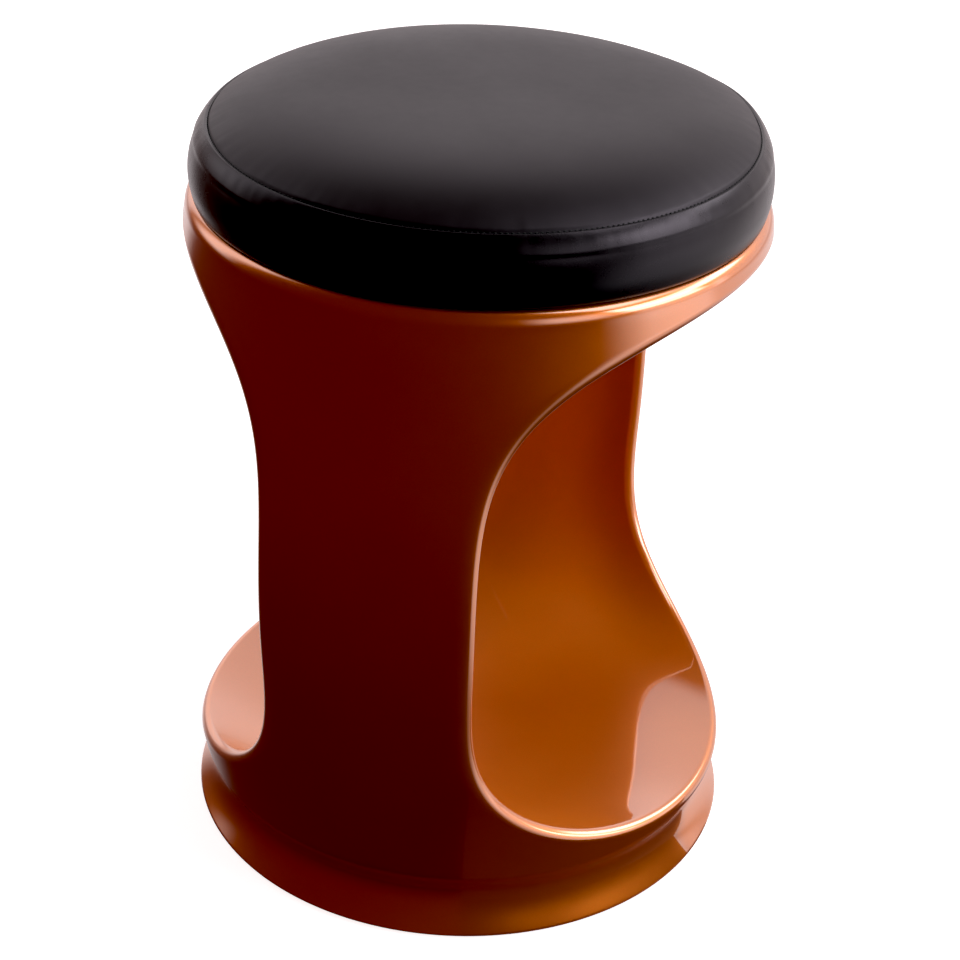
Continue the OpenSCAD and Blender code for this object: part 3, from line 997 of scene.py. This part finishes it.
@dataclass
class TurnedLeather:
    """A piece of leather turned about the cushion's axis by geometry nodes.

    The profile's points carry two directions: the way that the puckers beside the seam push the
    leather, and the way that its broad slack does.
    """

    name: str
    pucker: float
    slack: float
    seed: float
    turns: int = 600
    pucker_scale: float = 17.0
    slack_scale: float = 1.3

    def build(
        self,
        profile: np.ndarray,
        pucker_way: np.ndarray,
        slack_way: np.ndarray,
        closed: bool,
        finish: bpy.types.Material,
    ) -> bpy.types.Object:
        """Turns a profile into a closed piece of leather.

        Args:
            profile: radius and height of each point.
            pucker_way: radial and vertical push of the puckers at each point, for a share of 1.
            slack_way: the same for the slack.
            closed: whether the last point joins the first again, away from the axis.
            finish: material of the leather.

        Returns:
            The piece, with a plain mesh and no modifiers.
        """
        mesh = bpy.data.meshes.new(self.name)
        flat = np.zeros(len(profile))
        mesh.from_pydata(np.column_stack([profile[:, 0], flat, profile[:, 1]]).tolist(), [], [])
        ways = {"pucker_way": pucker_way, "slack_way": slack_way}
        for key, way in ways.items():
            column = mesh.attributes.new(key, "FLOAT_VECTOR", "POINT")
            column.data.foreach_set("vector", np.column_stack([way[:, 0], flat, way[:, 1]]).ravel())
        values = {
            "Rows": len(profile) + (1 if closed else 0),
            "Points": len(profile),
            "Turns": self.turns,
            "Pucker": self.pucker,
            "Pucker scale": self.pucker_scale,
            "Slack": self.slack,
            "Slack scale": self.slack_scale,
            "Seed": self.seed,
        }
        piece = self.turning(finish).apply(self.name, mesh, values)
        outward(piece.data)
        for key in ways:
            if key in piece.data.attributes:
                piece.data.attributes.remove(piece.data.attributes[key])
        smooth(piece, 70)
        return piece

    @staticmethod
    def sampled(sheet: GroupSheet, value: Socket, point: Socket) -> Socket:
        """Reads a vector of the profile.

        Args:
            sheet: the tree's sheet.
            value: what is read.
            point: number of the profile's point.

        Returns:
            The vector's socket.
        """
        feeds = {"Geometry": sheet.entry["Geometry"], "Value": value, "Index": point}
        return sheet.add("GeometryNodeSampleIndex", feeds, data_type="FLOAT_VECTOR").outputs["Value"]

    def turning(self, finish: bpy.types.Material) -> GroupSheet:
        """Builds the node tree that turns a profile about the Z axis.

        Args:
            finish: material of the leather.

        Returns:
            The tree's sheet.
        """
        whole = dict.fromkeys(("Rows", "Points", "Turns"), "Int")
        sizes = dict.fromkeys(("Pucker", "Pucker scale", "Slack", "Slack scale", "Seed"), "Float")
        shape = {"Geometry": "Geometry"}
        sheet = GroupSheet("turned_leather", "GeometryNodeTree", {**shape, **whole, **sizes}, shape)
        entry, maths = sheet.entry, sheet.maths
        columns = maths("ADD", entry["Turns"], 1.0)
        grid = sheet.add("GeometryNodeMeshGrid", {"Vertices X": entry["Rows"], "Vertices Y": columns})
        index = sheet.add("GeometryNodeInputIndex").outputs["Index"]
        row = maths("FLOOR", maths("DIVIDE", index, columns))
        column = maths("SUBTRACT", index, maths("MULTIPLY", row, columns))
        step = maths("MODULO", column, entry["Turns"])
        angle = maths("DIVIDE", maths("MULTIPLY", step, 2 * math.pi), entry["Turns"])
        across, along = maths("COSINE", angle), maths("SINE", angle)
        point = maths("MODULO", row, entry["Points"])
        ring = sheet.vector(across, along)
        place = self.sampled(sheet, sheet.add("GeometryNodeInputPosition").outputs["Position"], point)
        for size in ("Pucker", "Slack"):
            feeds = {"Vector": ring, "W": entry["Seed"], "Scale": entry[size + " scale"], "Detail": 1.0}
            noise = sheet.add("ShaderNodeTexNoise", feeds, noise_dimensions="4D").outputs["Fac"]
            wave = maths("MULTIPLY", maths("SUBTRACT", noise, 0.5), 4.0)
            push = maths("MULTIPLY", wave, entry[size])
            feeds = {"Name": size.lower() + "_way"}
            named = sheet.add("GeometryNodeInputNamedAttribute", feeds, data_type="FLOAT_VECTOR")
            way = self.sampled(sheet, named.outputs["Attribute"], point)
            place = sheet.vectors("ADD", place, sheet.vectors("SCALE", way, push))
        apart = sheet.add("ShaderNodeSeparateXYZ", {"Vector": place}).outputs
        there = sheet.vector(
            maths("MULTIPLY", apart["X"], across), maths("MULTIPLY", apart["X"], along), apart["Z"]
        )
        moved = sheet.add("GeometryNodeSetPosition", {"Geometry": grid.outputs["Mesh"], "Position": there})
        feeds = {"Geometry": moved.outputs["Geometry"], "Distance": 0.000002}
        merged = sheet.add("GeometryNodeMergeByDistance", feeds)
        sheet.hand_over(merged.outputs["Geometry"], finish)
        return sheet


@dataclass
class RoundCushion:
    """The upholstered seat: top panel, band, seam and stitches, in metres.

    The panel's thickness and the hem's rounding are counted in thicknesses of the leather, and the
    pads' inset in their depths.
    """

    body_top: float = 0.403
    full_radius: float = 0.1615
    edge_radius: float = 0.1595
    full_height: float = 0.013
    seam_radius: float = 0.1516
    seam_height: float = 0.0383
    seam_angle: float = math.radians(65)
    seam_gap: float = 0.0003
    crown: float = 0.018
    crown_power: float = 6.0
    leather: float = 0.0012
    panel_thickness: float = 1.05
    hem_width: float = 0.026
    hem_rounding: Pair = (0.6, 0.25)
    band_bias: float = 1.8
    seam_hold: float = 1.2
    pad_inset: float = 0.75
    stitch_inset: float = 0.0008
    stitch_pitch: float = 0.0029
    stitch_lift: float = 0.0001
    stitch_tilt: float = 0.62
    dip_depth: float = 0.0014
    dip_width: float = 0.0009
    allowance: float = 0.0110
    ridge_height: float = 0.0006
    ridge_fade: float = 0.0026
    ridge_turn: float = 0.92
    groove_depth: float = 0.0011
    groove_width: float = 0.0006
    pucker_reach: float = 0.006
    pucker_start: float = 0.0012
    slack_reach: float = 0.05
    slack_start: float = 0.01
    slack_rise: Pair = (0.003, 0.012)
    fine_strip: float = 0.012
    lean: Pair = (0.0012, 0.0004)
    bulge: float = 0.003
    bulge_angle: float = math.radians(45)
    bulge_focus: float = 25.0
    pad_gap: float = 0.0004
    pad_margin: float = 0.001
    foam_depth: float = 0.0068
    foam_lift: float = 0.0135
    wadding_depth: float = 0.0015
    wadding_thickness: float = 0.005

    @property
    def seam_z(self) -> float:
        """Height of the seam."""
        return self.body_top + self.seam_height

    def crown_z(self, r: np.ndarray) -> np.ndarray:
        """Height of the top panel at a radius."""
        return self.seam_z + self.crown * (1 - (r / self.seam_radius) ** self.crown_power)

    def panel_z(self, r: np.ndarray) -> np.ndarray:
        """Height of the top panel at a radius, with its dip into the seam."""
        inward = self.seam_radius - self.seam_gap - r
        return self.crown_z(r) - self.dip_depth * np.exp(-((inward / self.dip_width) ** 2))

    def settle(self, piece: bpy.types.Object) -> None:
        """Leans a piece of the cushion to one side, as soft upholstery settles, more the higher it is.

        Args:
            piece: the piece, whose mesh is moved.
        """
        points = np.empty(len(piece.data.vertices) * 3)
        piece.data.vertices.foreach_get("co", points)
        points = points.reshape(-1, 3)
        share = np.clip((points[:, 2] - self.body_top) / self.seam_height, 0, 1)
        share = share * share * (3 - 2 * share)
        radius = np.linalg.norm(points[:, :2], axis=1)
        turn = np.arctan2(points[:, 1], points[:, 0]) - self.bulge_angle
        focus = np.exp(np.cos(turn) * self.bulge_focus - self.bulge_focus)
        fuller = self.bulge * focus * share * (radius / self.seam_radius) ** 3
        points[:, 0] += share * self.lean[0] + fuller * math.cos(self.bulge_angle)
        points[:, 1] += share * self.lean[1] + fuller * math.sin(self.bulge_angle)
        piece.data.vertices.foreach_set("co", points.ravel())
        piece.data.update()

    def top_panel(self, finish: bpy.types.Material) -> bpy.types.Object:
        """Builds the top panel, which dips into the seam at its edge.

        Args:
            finish: material of the leather.

        Returns:
            The panel, as a closed sheet of leather.
        """
        edge = self.seam_radius - self.seam_gap
        fine = self.fine_strip
        inward = np.concatenate([np.linspace(0, fine, 25)[:-1], np.geomspace(fine, edge, 46)])
        radii = edge - inward
        pull = np.exp(-inward / self.pucker_reach) * (1 - np.exp(-inward / self.pucker_start))
        broad = np.exp(-inward / self.slack_reach) * (1 - np.exp(-inward / self.slack_start))
        broad = broad * (radii / edge) ** 3
        upper = np.column_stack([radii, self.panel_z(radii)])
        shrunk = np.array([1 - 2 * self.seam_gap / self.seam_radius, 1.0])
        lower = upper * shrunk - np.array([0.0, self.leather * self.panel_thickness])
        still = np.zeros_like(pull)
        pucker, slack = (np.column_stack([still, way]) for way in (pull, broad))
        pairs = ((upper, lower), (pucker, pucker), (slack, slack))
        profile, pucker, slack = (np.vstack([above[::-1], below]) for above, below in pairs)
        leather = TurnedLeather("leather_top_panel", pucker=0.00025, slack=0.0006, seed=3.0)
        return leather.build(profile, pucker, slack, False, finish)

    def band_profile(self) -> np.ndarray:
        """Profile of the band's outer face, from the hem's edge to the seam's groove.

        Returns:
            Radius and height of each point.
        """
        inward, upward = self.hem_rounding
        hem = [
            [self.edge_radius - self.hem_width, self.body_top],
            [self.edge_radius - self.leather * 2, self.body_top],
            [self.edge_radius - self.leather * inward, self.body_top + self.leather * upward],
        ]
        f = np.linspace(0, 1, 9)[:-1]
        full_z = self.body_top + self.full_height
        low_z = self.body_top + self.leather
        lower = [
            self.edge_radius + (self.full_radius - self.edge_radius) * np.sin(np.pi / 2 * f),
            low_z + (full_z - low_z) * f,
        ]
        a = self.seam_angle * (1 - (1 - np.linspace(0, 1, 56)) ** self.band_bias)
        drop = (1 - np.cos(a)) / (1 - math.cos(self.seam_angle))
        upper = np.stack(
            [
                self.full_radius - (self.full_radius - self.seam_radius) * drop,
                full_z + (self.seam_z - full_z) * np.sin(a) / math.sin(self.seam_angle),
            ],
            axis=-1,
        )
        along = np.linalg.norm(upper - upper[-1], axis=-1)
        fade = np.clip((along - self.allowance) / self.ridge_fade, 0, 1)
        groove = self.groove_depth * np.exp(-((along / self.groove_width) ** 2))
        ridge = self.ridge_height * (1 - fade * fade * (3 - 2 * fade)) - groove
        way = np.array([math.cos(self.ridge_turn), math.sin(self.ridge_turn)])
        return np.vstack([hem, np.stack(lower, axis=-1), upper + ridge[:, None] * way])

    def band(self, finish: bpy.types.Material) -> bpy.types.Object:
        """Builds the band with its turned hem, which keeps still at the hem and at the seam itself.

        Args:
            finish: material of the leather.

        Returns:
            The band, as a closed strip of leather.
        """
        outer = self.band_profile()
        step = np.gradient(outer, axis=0)
        step /= np.linalg.norm(step, axis=-1, keepdims=True)
        normal = np.stack([step[:, 1], -step[:, 0]], axis=-1)
        profile = np.vstack([outer, (outer - normal * self.leather)[::-1]])
        near = np.exp(-np.linalg.norm(profile - outer[-1], axis=-1) / self.pucker_reach)
        start, length = self.slack_rise
        rise = np.clip((profile[:, 1] - self.body_top - start) / length, 0, 1)
        ends = np.clip(1 - near * self.seam_hold, 0, 1)
        still = np.zeros_like(near)
        pucker, slack = (np.column_stack([way * ends, still]) for way in (near, rise))
        leather = TurnedLeather("leather_side_band", pucker=0.0007, slack=0.0007, seed=5.0)
        return leather.build(profile, pucker, slack, True, finish)

    def pad(self, name: str, depth: float, bottom: float, thickness: float) -> bpy.types.Object:
        """Builds a soft layer under the leather.

        Args:
            name: name of the piece.
            depth: how far the layer's upper face lies under the leather's.
            bottom: height of the layer's lower face, if it is flat.
            thickness: thickness of the layer, or 0 if its lower face is flat.

        Returns:
            The layer, as a closed crowned form.
        """
        edge = self.seam_radius - depth * self.pad_inset
        radii = edge * np.cos(np.linspace(0, np.pi / 2, 28))
        upper = np.stack([radii, self.crown_z(radii * self.seam_radius / edge) - depth], axis=-1)
        if thickness:
            profile = np.vstack([upper[::-1] - np.array([0.0, thickness]), upper])
        else:
            side = self.band_profile()[12:-6] - np.array([self.leather + self.pad_gap, 0.0])
            low, high = bottom + self.pad_margin, upper[0, 1] - self.pad_margin
            side = side[(side[:, 1] > low) & (side[:, 1] < high)]
            profile = np.vstack([[[0.0, bottom], [side[0, 0], bottom]], side, upper])
        layer = revolved(name, profile, 160)
        smooth(layer, 60)
        return layer

    def stitches(self, finish: bpy.types.Material) -> bpy.types.Object:
        """Builds the stitches on the top panel, beside the seam.

        Args:
            finish: material of the thread.

        Returns:
            The stitches as one plain mesh.
        """
        radius = self.seam_radius - self.stitch_inset
        height = float(self.panel_z(np.array(radius))) + self.stitch_lift
        return StitchRow(radius, height, self.stitch_pitch, self.stitch_tilt).build(finish)


@dataclass
class StitchRow:
    """The stitches along the seam, laid by geometry nodes."""

    radius: float
    height: float
    pitch: float
    tilt: float
    thread: float = 0.0004
    form: tuple[float, float, float] = (1.0, 2.0, 0.8)
    wander: Pair = (-0.05, 0.13)
    seed: int = 11

    def build(self, thread_finish: bpy.types.Material) -> bpy.types.Object:
        """Builds the row.

        Args:
            thread_finish: material of the thread.

        Returns:
            The stitches as one plain mesh.
        """
        sizes = {
            "Radius": self.radius,
            "Height": self.height,
            "Pitch": self.pitch,
            "Tilt": self.tilt,
            "Thread": self.thread,
        }
        shape = {"Geometry": "Geometry"}
        types = {**shape, **dict.fromkeys(sizes, "Float")}
        sheet = GroupSheet("stitch_row", "GeometryNodeTree", types, shape)
        entry, add = sheet.entry, sheet.add
        circle = add("GeometryNodeCurvePrimitiveCircle", {"Resolution": 256, "Radius": entry["Radius"]})
        feeds = {"Curve": circle.outputs["Curve"], "Length": entry["Pitch"]}
        spaced = add("GeometryNodeResampleCurve", feeds, mode="LENGTH")
        feeds = {"Geometry": spaced.outputs["Curve"], "Translation": sheet.vector(z=entry["Height"])}
        lifted = add("GeometryNodeTransform", feeds)
        bead = add("GeometryNodeMeshIcoSphere", {"Subdivisions": 2, "Radius": entry["Thread"]})
        feeds = {"Geometry": bead.outputs["Mesh"], "Scale": self.form}
        stretched = add("GeometryNodeTransform", feeds)
        spot = add("GeometryNodeInputPosition").outputs["Position"]
        apart = add("ShaderNodeSeparateXYZ", {"Vector": spot}).outputs
        heading = sheet.maths("ARCTAN2", apart["Y"], apart["X"])
        feeds = {"Seed": self.seed, "Min_001": self.wander[0], "Max_001": self.wander[1]}
        random = add("FunctionNodeRandomValue", feeds, data_type="FLOAT")
        turned = sheet.maths("ADD", heading, socket_of(random.outputs, "Value_001"))
        feeds = {
            "Points": lifted.outputs["Geometry"],
            "Instance": stretched.outputs["Geometry"],
            "Rotation": sheet.vector(y=entry["Tilt"], z=turned),
        }
        laid = add("GeometryNodeInstanceOnPoints", feeds)
        sheet.hand_over(laid.outputs["Instances"], thread_finish)
        row = sheet.apply("seam_stitches", bpy.data.meshes.new("seam_stitches"), sizes)
        row.data.shade_smooth()
        return row


# The fixings, which keep the frame's own shapes


class FixedNode(Enum):
    """Nodes of the frame that keep their shape, with the finish that each takes."""

    FIXING_BLOCKS = ("fixing_blocks", "plywood")
    BASE_PLATE = ("base_plate", "black_board")
    PLATE_SCREWS = ("plate_screw_set", "zinc_steel")
    FELT_GLIDES = ("felt_glides", "felt")
    SEAT_BOARD = ("seat_board", "plywood")
    TEE_NUTS = ("tee_nuts", "zinc_steel")
    SEAT_BOLTS = ("seat_bolts", "zinc_steel")
    BOLT_WASHERS = ("bolt_washers", "zinc_steel")
    DUST_COVER = ("dust_cover", "dust_fabric")
    HEM_STAPLES = ("hem_staples", "zinc_steel")


class Fixings:
    """Dresses the board, plate, blocks, screws and other pieces that are seen only from below."""

    finishes: tuple[PlainFinish, ...] = (
        PlainFinish("black_board", (0.012, 0.012, 0.012), (0.020, 0.020, 0.020), (0.55, 0.7)),
        PlainFinish("zinc_steel", (0.55, 0.56, 0.55), (0.66, 0.66, 0.62), (0.28, 0.42), metallic=1.0),
        PlainFinish("felt", (0.035, 0.033, 0.031), (0.060, 0.056, 0.052), (0.9, 0.97), grain_depth=0.0002),
        PlainFinish(
            "dust_fabric", (0.010, 0.010, 0.012), (0.018, 0.018, 0.020), (0.8, 0.92), grain_depth=0.0001
        ),
    )

    def dress(self, effects: Effects) -> None:
        """Gives each fixed node its material.

        Args:
            effects: the shared node groups.
        """
        made = {"plywood": Plywood().build(effects)}
        made.update({finish.name: finish.build(effects) for finish in self.finishes})
        for entry in FixedNode:
            node, finish = entry.value
            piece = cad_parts[node]
            for place in piece.material_slots:
                place.material = made[finish]
            log.info("dressed %s in %s", node, finish)


# Camera, floor and lights


@dataclass(frozen=True)
class PhotoCamera:
    """The camera, fitted to the outlines of the rim, the foot and the openings."""

    distance: float = 1.15372975
    height: float = 0.882094157
    focal_pixels: float = 2228.22715
    image_pixels: float = 960.0
    yaw: float = 0.00560225535
    pitch: float = 0.524844779
    roll: float = 0.0408876076
    azimuth: float = math.radians(18.04)

    def build(self) -> None:
        """Builds the camera and makes it the scene's own."""
        sideways = math.cos(self.pitch)
        look = Vector(
            (math.sin(self.yaw) * sideways, math.cos(self.yaw) * sideways, -math.sin(self.pitch))
        )
        level = Vector((math.cos(self.yaw), -math.sin(self.yaw), 0.0))
        above = level.cross(look)
        right = level * math.cos(self.roll) + above * math.sin(self.roll)
        up = above * math.cos(self.roll) - level * math.sin(self.roll)
        turn = Matrix.Rotation(self.azimuth, 4, "Z")
        facing = Matrix((right, up, -look)).transposed().to_4x4()
        data = bpy.data.cameras.new("photo_camera")
        data.sensor_width = 36.0
        data.lens = self.focal_pixels / self.image_pixels * data.sensor_width
        data.clip_start, data.clip_end = 0.05, 50.0
        camera = placed("photo_camera", data)
        camera.matrix_world = turn @ Matrix.Translation((0, -self.distance, self.height)) @ facing
        bpy.context.scene.camera = camera


@dataclass(frozen=True)
class GlowPatch:
    """A soft-edged bright area of the studio, as seen from the stool.

    Its azimuths are counted in degrees from +Y towards -X, and its elevations from the horizon.
    """

    azimuths: Pair
    elevations: Pair
    level: float
    softness: float
    colour: Colour = (1.0, 0.98, 1.01)


class Studio:
    """The pale floor, which is a little luminous, and the soft lights of the room round it."""

    patches: tuple[GlowPatch, ...] = (
        GlowPatch((-63.0, 57.0), (-2.0, 50.0), 0.86, 4.0),
        GlowPatch((-108.0, 57.0), (-38.0, -4.0), 0.86, 9.0),
        GlowPatch((-5.0, 57.0), (4.0, 31.0), 0.3, 8.0),
        GlowPatch((-101.0, -58.0), (-4.0, 16.0), 1.0, 5.0),
        GlowPatch((-104.0, -68.0), (13.0, 30.0), 4.4, 5.0),
        GlowPatch((-106.0, -30.0), (27.0, 41.0), 4.3, 4.0),
        GlowPatch((-98.0, -64.0), (-20.0, -7.0), 0.5, 5.0),
        GlowPatch((-100.0, -45.0), (50.0, 76.0), 3.0, 6.0),
        GlowPatch((66.0, 92.0), (4.0, 50.0), 1.4, 8.0),
        GlowPatch((-138.0, -110.0), (8.0, 36.0), 1.2, 9.0),
    )
    dim: Colour = (0.120, 0.020, 0.010)
    dim_elevations: Pair = (-65.0, -5.0)
    dim_levels: Pair = (0.35, 1.0)
    floor_half: float = 30.0
    card_azimuths: Pair = (-70.0, 2.0)
    card_profile: tuple[Pair, ...] = ((0.168, 0.0006), (0.225, 0.0006), (0.225, 0.042))

    def build(self, effects: Effects) -> None:
        """Builds the floor, a low card and the room's light.

        The floor shows only to the camera. The card is painted shade: a dark sheet, glowing faintly in the
        room's dim colour, that lies and stands low in front of the foot and shows only in the gloss, where it
        stands for the floor's shade by the foot.

        Args:
            effects: the shared node groups.
        """
        half = self.floor_half
        corners = np.array([[-half, -half, 0], [half, -half, 0], [half, half, 0], [-half, half, 0]])
        hidden = ("visible_diffuse", "visible_glossy", "visible_shadow")
        floor = self.surface("studio_floor", corners, [(0, 1, 2, 3)], PaleFloor().build(effects), hidden)
        angles = np.radians(np.linspace(*self.card_azimuths, 48))
        points = np.array([[r * np.cos(a), r * np.sin(a), z] for r, z in self.card_profile for a in angles])
        faces = grid_faces(len(self.card_profile), len(angles), closed=False)
        # Painted shade: a dark, faintly glowing card seen only in reflections, standing for the shaded floor
        # by the foot.
        shade = PaleFloor("shade_card", (0.02, 0.01, 0.01), (0.03, 0.01, 0.01), 0.55, self.dim)
        hidden = ("visible_camera", "visible_diffuse", "visible_shadow")
        card = self.surface("low_shade", points, faces, shade.build(effects), hidden)
        self.room()

    @staticmethod
    def surface(
        name: str,
        points: np.ndarray,
        faces: list[tuple[int, ...]],
        finish: bpy.types.Material,
        hidden: tuple[str, ...],
    ) -> bpy.types.Object:
        """Builds an open surface of the studio.

        Args:
            name: name of the surface.
            points: its corners.
            faces: corner numbers of each face.
            finish: its material.
            hidden: names of the switches for the rays that don't see it.

        Returns:
            The surface.
        """
        mesh = bpy.data.meshes.new(name)
        mesh.from_pydata(points.tolist(), [], faces)
        mesh.materials.append(finish)
        made = placed(name, mesh)
        for switch in hidden:
            setattr(made, switch, False)
        return made

    def room(self) -> None:
        """Builds the room's light as a sum of soft patches over a dim ground."""
        world = bpy.data.worlds.new("studio_room")
        world.use_nodes = True
        sheet = Wiring(world.node_tree)
        maths, vectors = sheet.maths, sheet.vectors
        way = sheet.add("ShaderNodeTexCoord").outputs["Generated"]
        apart = sheet.add("ShaderNodeSeparateXYZ", {"Vector": way}).outputs
        across = maths("MULTIPLY", apart["X"], -1.0)
        azimuth = maths("DEGREES", maths("ARCTAN2", across, apart["Y"]))
        elevation = maths("DEGREES", maths("ARCSINE", apart["Z"]))
        total = vectors("SCALE", self.dim, sheet.ranged(elevation, self.dim_elevations, self.dim_levels))
        for patch in self.patches:
            sideways = self.inside(sheet, azimuth, patch.azimuths, patch.softness)
            upwards = self.inside(sheet, elevation, patch.elevations, patch.softness)
            colour = tuple(patch.level * part for part in patch.colour)
            glow = vectors("SCALE", colour, maths("MULTIPLY", sideways, upwards))
            total = vectors("ADD", total, glow)
        sheet.feed(sheet.tree.nodes["Background"], "Color", total)
        bpy.context.scene.world = world

    @staticmethod
    def inside(sheet: Wiring, angle: Socket, limits: Pair, softness: float) -> Socket:
        """Tells how far an angle lies within soft limits.

        Args:
            sheet: the room's sheet.
            angle: the angle's socket, in degrees.
            limits: the lower and the upper limit.
            softness: half the width over which each limit is soft.

        Returns:
            The socket of a share from 0 to 1.
        """
        low, high = limits
        above = sheet.ranged(angle, (low - softness, low + softness), soft=True)
        below = sheet.ranged(angle, (high + softness, high - softness), soft=True)
        return sheet.maths("MULTIPLY", above, below)


class RoundStool:
    """The whole stool: body, cushion, stitches and fixings."""

    def __init__(self) -> None:
        """Prepares the shared effects and the sub-assemblies."""
        self.effects = Effects()
        self.body = MouldedBody()
        self.cushion = RoundCushion()

    def take(self, piece: bpy.types.Object, node: str, finish: bpy.types.Material) -> None:
        """Puts a finished piece in the place of a node of the frame.

        Args:
            piece: the finished piece.
            node: the node that it stands for.
            finish: its material.
        """
        piece.data.materials.clear()
        piece.data.materials.append(finish)
        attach(piece, "root")
        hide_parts(node)
        log.info("%s stands for %s, %d faces", piece.name, node, len(piece.data.polygons))

    def build(self) -> None:
        """Builds and dresses every piece."""
        effects, cushion = self.effects, self.cushion
        self.take(self.body.build(), "body_shell", CopperLacquer().build(effects))
        finish = BlackLeather("leather_top", roughness=(0.40, 0.47), specular=0.40).build(effects)
        top = cushion.top_panel(finish)
        cushion.settle(top)
        self.take(top, "leather_top", finish)
        finish = BlackLeather("leather_side").build(effects)
        band = cushion.band(finish)
        cushion.settle(band)
        self.take(band, "leather_band", finish)
        foam_finish = PlainFinish(
            "foam", (0.70, 0.60, 0.30), (0.80, 0.70, 0.38), (0.85, 0.95), grain_depth=0.0003
        )
        foam = cushion.pad("foam_pad", cushion.foam_depth, cushion.body_top + cushion.foam_lift, 0.0)
        cushion.settle(foam)
        self.take(foam, "foam_core", foam_finish.build(effects))
        wadding_finish = PlainFinish(
            "wadding", (0.80, 0.80, 0.76), (0.88, 0.88, 0.85), (0.9, 1.0), grain_depth=0.0004
        )
        wadding = cushion.pad("wadding_sheet", cushion.wadding_depth, 0.0, cushion.wadding_thickness)
        cushion.settle(wadding)
        self.take(wadding, "wadding_layer", wadding_finish.build(effects))
        thread = PlainFinish("thread", (0.003, 0.003, 0.003), (0.006, 0.006, 0.006), (0.6, 0.7))
        finish = thread.build(effects)
        stitches = cushion.stitches(finish)
        cushion.settle(stitches)
        self.take(stitches, "seam_thread", finish)
        Fixings().dress(effects)


def main() -> None:
    """Builds the camera, the studio and the stool."""
    logging.basicConfig(level=logging.INFO, format="%(name)s: %(message)s")
    view = bpy.context.scene.view_settings
    view.view_transform = "Standard"
    view.use_curve_mapping = True
    view.curve_mapping.black_level = (0.011, 0.008, 0.008)
    view.curve_mapping.update()
    PhotoCamera().build()
    stool = RoundStool()
    Studio().build(stool.effects)
    stool.build()
    bpy.context.view_layer.update()


if __name__ == "__main__":
    main()
